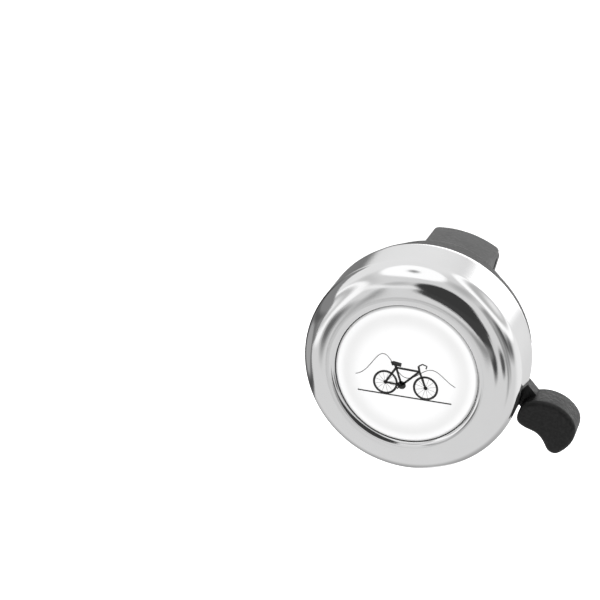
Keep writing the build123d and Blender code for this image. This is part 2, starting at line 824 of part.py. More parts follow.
with BuildPart() as clamp_jaw:
    with BuildSketch(Plane.XY.offset(lug_foot)) as lugs:
        Rectangle(clamp_width, 2 * jaw_lug_reach)
        fillet(lugs.vertices(), radius=jaw_lug_rounding)
    extrude(amount=jaw_lug_thickness)
    with BuildSketch(Plane.YZ):
        Circle(jaw_radius)
        with Locations((0, jaw_split)):
            Rectangle(2 * jaw_radius, jaw_radius, align=(Align.CENTER, Align.MAX),
                      mode=Mode.INTERSECT)
    extrude(amount=clamp_width / 2, both=True)
    # two ribs round the belly
    for rib_start in jaw_rib_starts:
        with BuildSketch(Plane.YZ.offset(rib_start)):
            Circle(jaw_radius + jaw_rib_height)
            with Locations((0, lug_foot)):
                Rectangle(3 * jaw_radius, 2 * jaw_radius, align=(Align.CENTER, Align.MAX),
                          mode=Mode.INTERSECT)
        extrude(amount=jaw_rib_width)
    with BuildSketch(Plane.YZ):
        Circle(bore_radius)
    extrude(amount=clamp_width, both=True, mode=Mode.SUBTRACT)
    # screw holes, and flats under the washers
    with BuildSketch(Plane.XY.offset(lug_foot)):
        with Locations(*nut_places):
            Circle(screw_radius + screw_clearance)
    extrude(amount=jaw_lug_thickness, mode=Mode.SUBTRACT)
    with BuildSketch(Plane.XY.offset(lug_foot)):
        with Locations(*nut_places):
            Circle(washer_radius + washer_seat_gap)
    extrude(amount=-jaw_radius, mode=Mode.SUBTRACT)
write(clamp_jaw, "clamp_jaw")

washer_foot = lug_foot - washer_thickness
screw_tip = cup_floor - screw_tip_gap

with BuildPart() as clamp_washers:
    with BuildSketch(Plane.XY.offset(washer_foot)):
        with Locations(*nut_places):
            Circle(washer_radius)
            Circle(screw_radius + screw_clearance, mode=Mode.SUBTRACT)
    extrude(amount=washer_thickness)
write(clamp_washers, "clamp_washers")

with BuildPart() as clamp_screws:
    with BuildSketch(Plane.XY.offset(washer_foot - screw_head_height)):
        with Locations(*nut_places):
            Circle(screw_head_radius)
    extrude(amount=screw_head_height)
    fillet(clamp_screws.edges().group_by(Axis.Z)[0], radius=screw_head_rounding)
    with BuildSketch(Plane.XY.offset(washer_foot)):
        with Locations(*nut_places):
            Circle(screw_radius)
    extrude(amount=screw_tip - washer_foot)
    chamfer(clamp_screws.edges().group_by(Axis.Z)[-1], length=screw_point)
    with BuildSketch(Plane.XY.offset(washer_foot - screw_head_height)):
        with Locations(*nut_places):
            Rectangle(screw_slot_length, screw_slot_width)
            Rectangle(screw_slot_width, screw_slot_length)
    extrude(amount=screw_slot_depth, mode=Mode.SUBTRACT)
write(clamp_screws, "clamp_screws")

with BuildPart() as clamp_nuts:
    with BuildSketch(Plane.XY.offset(cup_floor - nut_height)):
        with Locations(*nut_places):
            RegularPolygon(radius=nut_flats / 2, side_count=6, major_radius=False)
            Circle(screw_radius, mode=Mode.SUBTRACT)
    extrude(amount=nut_height - nut_gap)
write(clamp_nuts, "clamp_nuts")

for name, side in (("bar_liner_upper", 1), ("bar_liner_lower", -1)):
    with BuildPart() as bar_liner:
        with BuildSketch(Plane.YZ):
            Circle(bore_radius)
            Circle(bar_radius, mode=Mode.SUBTRACT)
            with Locations((0, side * (bore_radius + liner_gap))):
                Rectangle(3 * bore_radius, 2 * bore_radius, mode=Mode.INTERSECT)
        extrude(amount=liner_width / 2, both=True)
    write(bar_liner, name)
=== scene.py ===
"""Looks of the bicycle bell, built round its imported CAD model. Everything is in metres."""
import math

import bmesh
import bpy
from mathutils import Matrix, Vector


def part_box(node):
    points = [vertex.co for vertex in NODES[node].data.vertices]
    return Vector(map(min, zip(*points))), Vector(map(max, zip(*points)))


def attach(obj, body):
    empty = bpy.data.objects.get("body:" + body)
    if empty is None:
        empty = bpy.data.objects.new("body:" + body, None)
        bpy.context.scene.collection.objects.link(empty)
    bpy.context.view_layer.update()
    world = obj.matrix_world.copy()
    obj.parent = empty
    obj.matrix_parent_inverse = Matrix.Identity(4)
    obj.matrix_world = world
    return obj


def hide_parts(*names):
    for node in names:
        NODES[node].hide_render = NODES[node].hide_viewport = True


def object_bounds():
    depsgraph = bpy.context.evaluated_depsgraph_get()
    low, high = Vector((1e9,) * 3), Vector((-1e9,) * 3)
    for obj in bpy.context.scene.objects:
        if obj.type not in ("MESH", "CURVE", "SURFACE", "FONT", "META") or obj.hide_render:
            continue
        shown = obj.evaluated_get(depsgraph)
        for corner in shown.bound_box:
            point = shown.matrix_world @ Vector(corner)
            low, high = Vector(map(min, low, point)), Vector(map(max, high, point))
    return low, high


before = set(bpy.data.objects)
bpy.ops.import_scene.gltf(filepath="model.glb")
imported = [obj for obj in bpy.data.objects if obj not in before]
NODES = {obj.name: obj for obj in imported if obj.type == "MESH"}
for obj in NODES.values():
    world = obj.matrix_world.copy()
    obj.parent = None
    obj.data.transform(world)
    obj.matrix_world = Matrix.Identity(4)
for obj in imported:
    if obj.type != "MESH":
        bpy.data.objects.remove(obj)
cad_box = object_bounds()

MM = 0.001
SCENE = bpy.context.scene
SCENE.view_settings.view_transform = "Standard"

# Heights that the rest is worked out from
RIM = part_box("gong_dome")[0].z
LOWEST = cad_box[0][2]


# ---------------------------------------------------------------- camera

CAMERA_FROM_RIM = Vector((45.68, 175.50, 361.39)) * MM    # from the middle of the gong's rim
CAMERA_RIGHT = Vector((0.921, 0.232, -0.314))
CAMERA_UP = Vector((-0.339, 0.874, -0.349))
LENS = 97.5
SENSOR = 36.0
NEAREST = 10 * MM


def make_camera():
    """The scene's camera. It sees the bell at the photograph's angle and size."""
    data = bpy.data.cameras.new("camera")
    data.lens = LENS
    data.sensor_width = SENSOR
    data.clip_start = NEAREST
    camera = bpy.data.objects.new("camera", data)
    right = CAMERA_RIGHT.normalized()
    back = right.cross(CAMERA_UP).normalized()
    up = back.cross(right)
    turn = Matrix((right, up, back)).transposed().to_4x4()
    camera.matrix_world = Matrix.Translation(Vector((0, 0, RIM)) + CAMERA_FROM_RIM) @ turn
    SCENE.collection.objects.link(camera)
    SCENE.camera = camera


# ---------------------------------------------------------------- node helpers


class Nodes:
    """Short calls for building a node tree."""

    def __init__(self, tree):
        self.tree = tree

    def add(self, kind, **settings):
        """A node with the given attributes, and its inputs by name in a dict called inputs."""
        node = self.tree.nodes.new(kind)
        for key, value in settings.pop("inputs", {}).items():
            self.feed(node.inputs[key], value)
        for key, value in settings.items():
            setattr(node, key, value)
        return node

    def feed(self, socket, value):
        """Links an output to the socket, or sets the socket's own value."""
        if isinstance(value, bpy.types.NodeSocket):
            self.tree.links.new(value, socket)
        else:
            socket.default_value = value

    def math(self, operation, a, b=0.0, c=0.0):
        """One Math node."""
        node = self.tree.nodes.new("ShaderNodeMath")
        node.operation = operation
        for socket, value in zip(node.inputs, (a, b, c)):
            self.feed(socket, value)
        return node.outputs[0]

    def dot(self, a, b):
        """The dot product of two vectors."""
        node = self.tree.nodes.new("ShaderNodeVectorMath")
        node.operation = "DOT_PRODUCT"
        self.feed(node.inputs[0], a)
        self.feed(node.inputs[1], b)
        return node.outputs["Value"]

    def radius(self, x, y):
        """The distance from the Z axis."""
        squares = self.math("ADD", self.math("MULTIPLY", x, x), self.math("MULTIPLY", y, y))
        return self.math("SQRT", squares)

    def ramp(self, value, low, high, to_low=0.0, to_high=1.0):
        """Maps low..high smoothly onto to_low..to_high, clamped."""
        node = self.tree.nodes.new("ShaderNodeMapRange")
        node.interpolation_type = "SMOOTHSTEP"
        for name, number in (
            ("Value", value),
            ("From Min", low),
            ("From Max", high),
            ("To Min", to_low),
            ("To Max", to_high),
        ):
            self.feed(node.inputs[name], number)
        return node.outputs["Result"]

    def mix(self, factor, a, b):
        """Mixes two colours."""
        node = self.tree.nodes.new("ShaderNodeMix")
        node.data_type = "RGBA"
        self.feed(node.inputs["Factor"], factor)
        self.feed(node.inputs["A"], a)
        self.feed(node.inputs["B"], b)
        return node.outputs["Result"]

    def noise(self, coordinates, scale, detail, roughness):
        """A noise texture's value."""
        node = self.add(
            "ShaderNodeTexNoise",
            inputs={
                "Vector": coordinates,
                "Scale": scale,
                "Detail": detail,
                "Roughness": roughness,
            },
        )
        return node.outputs[0]


def grey(value):
    """A neutral colour."""
    return (value, value, value, 1.0)


# ---------------------------------------------------------------- world: a light tent

CHROME_REFLECTS = 0.84
TENT_TONE = 0.82
FACING_FROM, FACING_FULL = 0.05, 0.12


def radiance(tone):
    """The light a spot in the tent gives off, from how light (0 to 1, sRGB) it looks in chrome."""
    return ((tone + 0.055) / 1.055) ** 2.4 / CHROME_REFLECTS


def direction(azimuth, elevation):
    """A unit vector from degrees round from +X and degrees up."""
    a, e = math.radians(azimuth), math.radians(elevation)
    return Vector((math.cos(e) * math.cos(a), math.cos(e) * math.sin(a), math.sin(e)))


# What stands round the bell, later ones in front: name, azimuth, elevation, half width, half
# height and turn in degrees, how square it is (2 is an ellipse), how soft its edge is, its tone.
TENT = [
    ("ground_front", 132, -38, 40, 34, 0, 3, 0.4, 0.88),
    ("ground_right", 356, -40, 22, 24, 0, 2, 0.6, 0.91),
    ("ground_left", 278, -34, 34, 22, 0, 2, 0.8, 0.60),
    ("nadir", 60, -89, 18, 18, 0, 2, 0.2, 1.45),
    ("wall_front", 74, 14, 13, 12, 0, 2, 0.8, 0.68),
    ("wall_left", 152, 20, 6, 20, 0, 2, 0.8, 0.76),
    ("wall_low", 164, -6, 14, 8, 0, 2, 0.8, 0.89),
    ("ceiling_left", 138, 66, 8, 5, 0, 2, 0.7, 0.88),
    ("ceiling_dim", 142, 55, 10, 5, 0, 2, 0.8, 0.70),
    ("camera_body", 49, 74, 23, 19.5, 41, 2.2, 0.12, 0.24),
    ("camera_lens", 80, 60, 21.5, 19, 10, 2, 0.12, 0.22),
    ("camera_strap", 349, 64, 11, 8, 0, 2, 0.4, 0.26),
    ("softbox", 115, 6, 25.5, 28, 0, 2, 0.12, 1.0),
    ("softbox_core", 115, 7, 4, 6, 0, 2, 0.8, 0.58),
    ("ring_left", 183, 24, 26, 26, 0, 2, 0.14, 0.98),
    ("ring_left_inside", 183, 21, 17.5, 15.5, 0, 2, 0.3, 0.72),
    ("ring_left_core", 186, 23, 8, 8, 0, 2, 0.9, 0.90),
    ("ring_right", 52, -30, 30, 35, 0, 2, 0.10, 1.0),
    ("ring_right_inside", 52, -33, 20, 26, 0, 2, 0.25, 0.70),
    ("ring_right_core", 47, -36, 9, 14, 0, 2, 0.8, 0.90),
    ("floor_glow", 44, -71, 12, 11, 0, 2, 0.4, 1.25),
    ("stand_spot", 10, 52, 7, 6, 0, 2, 0.7, 0.80),
    ("stand_high", 3, 38, 9, 7, 0, 2, 0.5, 0.32),
    ("stand_arm", 16, 25, 32, 4.5, 6, 3, 0.6, 0.58),
    ("stand_shade", 22, 16, 24, 5, 4, 2, 0.8, 0.50),
    ("stand_low", 26, 8, 16, 6, 14, 2, 0.6, 0.32),
    ("stand_foot", 17, -6, 9, 10, -20, 2, 0.8, 0.40),
    ("wall_edge", 48, 17, 6, 7, 0, 2, 0.8, 0.56),
    ("streak_high", 212, 50, 9, 11, -15, 2, 0.7, 0.40),
    ("streak_top", 200, 67, 20, 2.6, 4, 2, 0.9, 0.60),
    ("streak_far", 300, 74, 18, 3.0, 0, 2, 0.9, 0.56),
    ("window_high", 159, 52, 4, 12, 10, 2, 0.8, 0.93),
    ("carton_left", 190, -18, 17, 38, -10, 6, 0.08, 0.50),
    ("carton_right", 213, -22, 19, 31, 6, 5, 0.08, 0.44),
    ("carton_print", 213, -15, 12, 18, 8, 2, 0.2, 0.62),
    ("carton_seam", 196, -12, 3, 26, 8, 2, 0.8, 0.34),
    ("carton_edge", 230, -22, 2.4, 24, 12, 2, 0.9, 0.28),
    ("carton_toe", 214, -60, 11, 12, 0, 3, 0.3, 0.45),
    ("carton_foot", 222, -48, 22, 8, 6, 2, 0.6, 0.14),
    ("card_low", 276, -43, 4.0, 12, -12, 2, 0.9, 0.97),
]


def make_world():
    """A pale tent with soft lamps and darker things round the bell, all worked out by direction."""
    world = bpy.data.worlds.new("studio")
    SCENE.world = world
    world.use_nodes = True
    tree = world.node_tree
    tree.nodes.clear()
    n = Nodes(tree)
    toward = n.add("ShaderNodeTexCoord").outputs["Generated"]
    light = radiance(TENT_TONE)
    for _, azimuth, elevation, half_width, half_height, turn, power, soft, tone in TENT:
        middle = direction(azimuth, elevation)
        side = Vector((0, 0, 1)).cross(middle).normalized()
        above = middle.cross(side)
        turned = Matrix.Rotation(math.radians(turn), 3, middle)
        side, above = turned @ side, turned @ above
        ahead = n.dot(toward, tuple(middle))
        safe = n.math("MAXIMUM", ahead, FACING_FROM)
        parts = []
        for axis, half in ((side, half_width), (above, half_height)):
            across = n.math("DIVIDE", n.dot(toward, tuple(axis)), safe)
            scaled = n.math("DIVIDE", n.math("ABSOLUTE", across), math.tan(math.radians(half)))
            parts.append(n.math("POWER", scaled, power))
        reach = n.math("POWER", n.math("ADD", parts[0], parts[1]), 1 / power)
        inside = n.ramp(reach, 1 + soft, 1 - soft)
        facing = n.ramp(ahead, FACING_FROM, FACING_FULL)
        cover = n.math("MULTIPLY", inside, facing)
        step = n.math("SUBTRACT", radiance(tone), light)
        light = n.math("MULTIPLY_ADD", cover, step, light)
    background = n.add("ShaderNodeBackground", inputs={"Color": grey(1.0), "Strength": light})
    output = n.add("ShaderNodeOutputWorld")
    n.feed(output.inputs["Surface"], background.outputs[0])


# ---------------------------------------------------------------- materials


def new_material(name):
    """An empty node material, its helper, its Principled node and its object coordinates."""
    material = bpy.data.materials.new(name)
    material.use_nodes = True
    tree = material.node_tree
    tree.nodes.clear()
    n = Nodes(tree)
    shader = n.add("ShaderNodeBsdfPrincipled")
    output = n.add("ShaderNodeOutputMaterial")
    n.feed(output.inputs["Surface"], shader.outputs[0])
    place = n.add("ShaderNodeTexCoord").outputs["Object"]
    return material, n, shader, place


def add_bump(n, shader, height, strength, depth, normal=None):
    """Feeds a height through a Bump node, on top of a normal if there is one. depth is in mm."""
    bump = n.add(
        "ShaderNodeBump", inputs={"Height": height, "Strength": strength, "Distance": depth * MM}
    )
    if normal:
        n.feed(bump.inputs["Normal"], normal)
    n.feed(shader.inputs["Normal"], bump.outputs[0])


def round_marks(n, place, along, across):
    """Coordinates that draw noise out round the bell's axis, as polishing marks run."""
    split = n.add("ShaderNodeSeparateXYZ", inputs={"Vector": place})
    x, y, z = split.outputs
    turn = n.math("ARCTAN2", y, x)
    spread = n.add(
        "ShaderNodeCombineXYZ",
        inputs={
            "X": n.math("MULTIPLY", turn, along),
            "Y": n.math("MULTIPLY", n.radius(x, y), across),
            "Z": n.math("MULTIPLY", z, across),
        },
    )
    return spread.outputs[0]


def chrome_material():
    """Bright chrome plate: polishing marks round the dome, a light haze and fine pits."""
    material, n, shader, place = new_material("chrome_plate")
    polishing = round_marks(n, place, along=2.5, across=3600)
    marks = n.noise(polishing, scale=1.0, detail=4.0, roughness=0.65)
    haze = n.noise(place, scale=55, detail=3.0, roughness=0.55)
    pits = n.noise(place, scale=2600, detail=2.0, roughness=0.5)
    dulling = n.math("ADD", n.math("MULTIPLY", marks, 0.6), haze)
    n.feed(shader.inputs["Roughness"], n.ramp(dulling, 0.55, 1.05, to_low=0.03, to_high=0.11))
    n.feed(shader.inputs["Base Color"], n.mix(haze, grey(0.80), (0.87, 0.87, 0.875, 1)))
    shader.inputs["Metallic"].default_value = 1.0
    height = n.math("MULTIPLY_ADD", pits, 0.35, marks)
    add_bump(n, shader, height, strength=0.11, depth=0.06)
    return material


EDGE_ROUND = 0.25 * MM
BLACK_IOR = 1.38


def plastic_material(name, tone, roughness, grain, grain_depth, wear):
    """Moulded black plastic with a spark-eroded grain, faint clouding and paler rubbed spots."""
    material, n, shader, place = new_material(name)
    rounded = n.add("ShaderNodeBevel", samples=4, inputs={"Radius": EDGE_ROUND}).outputs[0]
    fine = n.noise(place, grain, detail=3.0, roughness=0.6)
    cells = n.add(
        "ShaderNodeTexVoronoi", inputs={"Vector": place, "Scale": grain * 0.7}
    ).outputs["Distance"]
    cloud = n.noise(place, scale=160, detail=4.0, roughness=0.6)
    colour = n.mix(n.ramp(cloud, 0.3, 0.75), grey(tone * 0.7), grey(tone * 1.4))
    speckle = n.ramp(fine, 0.35, 0.7)
    colour = n.mix(n.math("MULTIPLY", speckle, wear), colour, grey(tone * 4.0))
    n.feed(shader.inputs["Base Color"], colour)
    n.feed(
        shader.inputs["Roughness"],
        n.ramp(n.math("ADD", cloud, fine), 0.6, 1.4, roughness - 0.06, roughness + 0.08),
    )
    shader.inputs["IOR"].default_value = BLACK_IOR
    height = n.math("MULTIPLY_ADD", cells, 0.6, fine)
    add_bump(n, shader, height, strength=0.55, depth=grain_depth, normal=rounded)
    return material


def steel_material(name, tone, roughness, tint=(1.0, 1.0, 1.0)):
    """Plated or bare metal with a fine grain and small spots."""
    material, n, shader, place = new_material(name)
    grain = n.noise(place, scale=900, detail=3.0, roughness=0.6)
    spots = n.noise(place, scale=260, detail=4.0, roughness=0.65)
    dark = tuple(tone * 0.75 * c for c in tint) + (1,)
    pale = tuple(min(1, tone * 1.1 * c) for c in tint) + (1,)
    n.feed(shader.inputs["Base Color"], n.mix(n.ramp(spots, 0.3, 0.7), dark, pale))
    n.feed(
        shader.inputs["Roughness"], n.ramp(grain, 0.25, 0.75, roughness - 0.08, roughness + 0.1)
    )
    shader.inputs["Metallic"].default_value = 1.0
    add_bump(n, shader, grain, strength=0.2, depth=0.04)
    return material


def rubber_material():
    """Matt black rubber."""
    material, n, shader, place = new_material("liner_rubber")
    fine = n.noise(place, scale=1500, detail=4.0, roughness=0.7)
    cloud = n.noise(place, scale=200, detail=3.0, roughness=0.5)
    n.feed(shader.inputs["Base Color"], n.mix(cloud, grey(0.012), grey(0.026)))
    n.feed(shader.inputs["Roughness"], n.ramp(fine, 0.3, 0.7, 0.72, 0.88))
    add_bump(n, shader, fine, strength=0.4, depth=0.06)
    return material


def nylon_material():
    """Off-white gear nylon, slightly waxy."""
    material, n, shader, place = new_material("gear_nylon")
    cloud = n.noise(place, scale=180, detail=4.0, roughness=0.6)
    n.feed(
        shader.inputs["Base Color"],
        n.mix(n.ramp(cloud, 0.3, 0.7), (0.70, 0.67, 0.58, 1), (0.80, 0.78, 0.70, 1)),
    )
    n.feed(shader.inputs["Roughness"], n.ramp(cloud, 0.3, 0.7, 0.34, 0.48))
    shader.inputs["Subsurface Weight"].default_value = 0.1
    shader.inputs["Subsurface Scale"].default_value = 1.0 * MM
    fine = n.noise(place, scale=1800, detail=2.0, roughness=0.5)
    add_bump(n, shader, fine, strength=0.2, depth=0.03)
    return material


def foam_material():
    """Pale adhesive foam."""
    material, n, shader, place = new_material("adhesive_foam")
    cells = n.noise(place, scale=2500, detail=3.0, roughness=0.6)
    n.feed(shader.inputs["Base Color"], n.mix(cells, grey(0.55), grey(0.72)))
    n.feed(shader.inputs["Roughness"], n.ramp(cells, 0.3, 0.7, 0.75, 0.92))
    add_bump(n, shader, cells, strength=0.5, depth=0.08)
    return material


# Radii on the badge: the painted grey shade ring comes in, is full and goes out, then the painted
# darker rim shade comes in
SHADE_RING_STARTS, SHADE_RING_FULL = 11.0 * MM, 14.6 * MM
SHADE_RING_FADES, SHADE_RING_ENDS = 14.8 * MM, 16.6 * MM
RIM_SHADE_STARTS, RIM_SHADE_FULL = 16.8 * MM, 17.3 * MM


def enamel_material():
    """White badge under a clear gloss coat, with a painted soft grey shade ring inside a painted
    darker shade at the rim.
    """
    material, n, shader, place = new_material("badge_enamel")
    split = n.add("ShaderNodeSeparateXYZ", inputs={"Vector": place})
    x, y, _ = split.outputs
    radius = n.radius(x, y)
    peel = n.noise(place, scale=420, detail=2.0, roughness=0.4)
    cloud = n.noise(place, scale=90, detail=3.0, roughness=0.5)
    white = n.mix(cloud, grey(0.92), (0.95, 0.95, 0.955, 1))
    # Painted shade: a soft grey ring that stands in for the darker tent reflected in the crown's
    # shoulder.
    rise = n.ramp(radius, SHADE_RING_STARTS, SHADE_RING_FULL)
    fall = n.ramp(radius, SHADE_RING_ENDS, SHADE_RING_FADES)
    ring = n.math("MULTIPLY", rise, fall)
    # Painted shade: a darker rim that stands in for the rounded edge turning away from the light.
    rim = n.ramp(radius, RIM_SHADE_STARTS, RIM_SHADE_FULL)
    white_with_painted_ring = n.mix(n.math("MULTIPLY", ring, n.ramp(cloud, 0.2, 0.8, 0.8, 1.0)), white, grey(0.80))
    n.feed(shader.inputs["Base Color"], n.mix(rim, white_with_painted_ring, grey(0.55)))
    n.feed(shader.inputs["Roughness"], n.ramp(cloud, 0.3, 0.7, 0.26, 0.36))
    shader.inputs["Coat Weight"].default_value = 1.0
    shader.inputs["Coat Roughness"].default_value = 0.04
    add_bump(n, shader, peel, strength=0.06, depth=0.06)
    return material


def ink_material():
    """Black printing ink."""
    material, n, shader, place = new_material("badge_ink")
    fine = n.noise(place, scale=1200, detail=3.0, roughness=0.6)
    n.feed(shader.inputs["Base Color"], n.mix(fine, grey(0.006), grey(0.018)))
    n.feed(shader.inputs["Roughness"], n.ramp(fine, 0.3, 0.7, 0.25, 0.36))
    add_bump(n, shader, fine, strength=0.1, depth=0.02)
    return material


def floor_material():
    """Plain white paper that glows a little, as a light table does."""
    material, n, shader, place = new_material("floor_paper")
    fine = n.noise(place, scale=60, detail=3.0, roughness=0.6)
    n.feed(shader.inputs["Base Color"], n.mix(fine, grey(0.88), grey(0.90)))
    shader.inputs["Roughness"].default_value = 0.9
    shader.inputs["Emission Color"].default_value = grey(1.0)
    shader.inputs["Emission Strength"].default_value = 0.8
    return material


def dress(material, *names):
    """Gives CAD nodes a material."""
    for name in names:
        data = NODES[name].data
        data.materials.clear()
        data.materials.append(material)


# ---------------------------------------------------------------- turned pieces
# The gong and the badge, drawn again with finer facets than the CAD model's

SEGMENTS = 320
SHARP = math.radians(32)
SAME_POINT = 1e-4
ON_AXIS = 1e-6


def arc(centre, radius, start, end, steps, height=None):
    """Points on an arc or an ellipse's arc, angles in degrees, both ends included."""
    points = []
    for step in range(steps + 1):
        angle = math.radians(start + (end - start) * step / steps)
        points.append(
            (
                centre[0] + radius * math.cos(angle),
                centre[1] + (height or radius) * math.sin(angle),
            )
        )
    return points


def line(start, end, steps):
    """Points on a line, both ends included."""
    return [
        (
            start[0] + (end[0] - start[0]) * step / steps,
            start[1] + (end[1] - start[1]) * step / steps,
        )
        for step in range(steps + 1)
    ]


def turned(name, outline):
    """Turns an outline of (radius, height above the rim), both in mm, round the bell's axis."""
    kept = [outline[0]]
    for point in outline[1:]:
        if math.dist(point, kept[-1]) > SAME_POINT:
            kept.append(point)
    bm = bmesh.new()
    rings = []
    for radius, height in kept:
        if radius < ON_AXIS:
            rings.append([bm.verts.new((0, 0, RIM + height * MM))])
            continue
        ring = []
        for step in range(SEGMENTS):
            angle = 2 * math.pi * step / SEGMENTS
            place = (radius * MM * math.cos(angle), radius * MM * math.sin(angle))
            ring.append(bm.verts.new((*place, RIM + height * MM)))
        rings.append(ring)
    pairs = list(zip(rings, rings[1:]))
    if len(rings[0]) > 1:
        pairs.append((rings[-1], rings[0]))
    for low, high in pairs:
        for step in range(SEGMENTS):
            after = (step + 1) % SEGMENTS
            if len(low) == 1 or len(high) == 1:
                hub, ring = (low, high) if len(low) == 1 else (high, low)
                bm.faces.new((hub[0], ring[step], ring[after]))
            else:
                bm.faces.new((low[step], low[after], high[after], high[step]))
    bmesh.ops.recalc_face_normals(bm, faces=bm.faces)
    data = bpy.data.meshes.new(name)
    bm.to_mesh(data)
    bm.free()
    data.polygons.foreach_set("use_smooth", [True] * len(data.polygons))
    data.set_sharp_from_angle(angle=SHARP)
    piece = bpy.data.objects.new(name, data)
    SCENE.collection.objects.link(piece)
    return piece


# The gong's section in mm, radii from the axis and heights above the rim
RIM_R = 27.2                # outside of the sheet at the rim
RIM_ROUND = 0.35
SKIRT_R, SKIRT_Z = 27.0, 11.3    # where the straight skirt meets the shoulder
CREST_OUT, CREST_IN, CREST_Z = 19.6, 19.1, 18.0    # the flat ring on top
SHEET = 1.0
ROLL, ROLL_TURN = 2.0, 40   # the curve down into the well, and how many degrees it turns
LIP = 0.35                  # the sharper bend after it
FLOOR_Z, FLOOR_CORNER = 16.3, 0.2
HOLE_R = 3.0
UNDER_CREST, UNDER_SHIFT = 0.5, 0.1    # the inner bend under the crest


def gong_outline():
    """Both faces of the gong's sheet, starting at the rim."""
    outer = arc((RIM_R - RIM_ROUND, RIM_ROUND), RIM_ROUND, -90, 0, 6)
    outer += line((RIM_R, RIM_ROUND), (SKIRT_R, SKIRT_Z), 8)
    outer += arc((CREST_OUT, SKIRT_Z), SKIRT_R - CREST_OUT, 0, 90, 110, CREST_Z - SKIRT_Z)
    outer += arc((CREST_IN, CREST_Z - ROLL), ROLL, 90, 90 + ROLL_TURN, 30)
    end_r, end_z = outer[-1]
    turn = math.radians(90 + ROLL_TURN)
    lip = (end_r - LIP * math.cos(turn), end_z - LIP * math.sin(turn))
    outer += arc(lip, LIP, 90 + ROLL_TURN, 180, 10)
    wall = lip[0] - LIP
    corner = (wall - FLOOR_CORNER, FLOOR_Z + FLOOR_CORNER)
    outer += line((wall, lip[1]), (wall, corner[1]), 4)
    outer += arc(corner, FLOOR_CORNER, 0, -90, 4)
    outer += line((corner[0], FLOOR_Z), (HOLE_R, FLOOR_Z), 6)
    inner = line((HOLE_R, FLOOR_Z - SHEET), (corner[0], FLOOR_Z - SHEET), 6)
    inner += arc(corner, SHEET + FLOOR_CORNER, -90, 0, 10)
    bend = (CREST_IN + UNDER_SHIFT, CREST_Z - SHEET - UNDER_CREST)
    inner += arc(bend, UNDER_CREST, 180, 90, 8)
    inside_r, inside_z = SKIRT_R - CREST_OUT - SHEET, CREST_Z - SKIRT_Z - SHEET
    inner += arc((CREST_OUT, SKIRT_Z), inside_r, 90, 0, 80, inside_z)
    inner += line((SKIRT_R - SHEET, SKIRT_Z), (RIM_R - SHEET, RIM_ROUND), 8)
    inner += arc((RIM_R - SHEET + RIM_ROUND, RIM_ROUND), RIM_ROUND, 180, 270, 6)
    return outer + inner


# The badge's section in mm, in the same way
BADGE_R = 17.55
BADGE_FOOT, BADGE_EDGE_TOP, BADGE_TOP = 16.45, 17.4, 17.8
BADGE_ROUND, BADGE_ARC = 0.5, 74    # its edge, and how many degrees that turns
CROWN_POWER = 7             # the higher, the flatter the middle
CROWN_STEPS = 60


def crown_height(radius):
    """The badge's top face above the rim, in mm."""
    start = math.radians(BADGE_ARC)
    edge_r = BADGE_R - BADGE_ROUND * (1 - math.cos(start))
    edge_z = BADGE_EDGE_TOP - BADGE_ROUND * (1 - math.sin(start))
    return BADGE_TOP - (BADGE_TOP - edge_z) * (min(radius, edge_r) / edge_r) ** CROWN_POWER


def badge_outline():
    """The domed badge, from the middle of its foot round to the middle of its top."""
    centre = (BADGE_R - BADGE_ROUND, BADGE_EDGE_TOP - BADGE_ROUND)
    rounding = arc(centre, BADGE_ROUND, 0, BADGE_ARC, 16)
    points = line((0, BADGE_FOOT), (BADGE_R, BADGE_FOOT), 6) + rounding
    edge_r = rounding[-1][0]
    for step in range(1, CROWN_STEPS + 1):
        radius = edge_r * (1 - step / CROWN_STEPS)
        points.append((radius, crown_height(radius)))
    return points


# ---------------------------------------------------------------- the badge's print

# All in mm, in the drawing's own axes with the badge's middle as the origin
PRINT_LIFT = 0.02           # above the badge's face
PRINT_TURN = math.radians(12.54)
SPOKE, THIN, MIDDLE, BOLD = 0.06, 0.16, 0.34, 0.55    # widths of line
RIBBON_STEP = 0.4
RING_STEPS, DISC_STEPS = 30, 24    # round a ring per mm of its radius, and round a disc
SPOKE_ANGLES = range(15, 180, 30)
ROAD, ROAD_HALF = -5.6, 11.6
WHEEL = 3.1
HUB, CHAINRING, SADDLE = 0.16, 0.34, 0.34    # sizes as parts of the wheel's radius
HILL_FOOT, HILLS_HALF = 3.8, 12.3
HILLS = [(-5.6, 6.6, 3.8), (6.4, 4.2, 4.4)]    # middle, height and spread


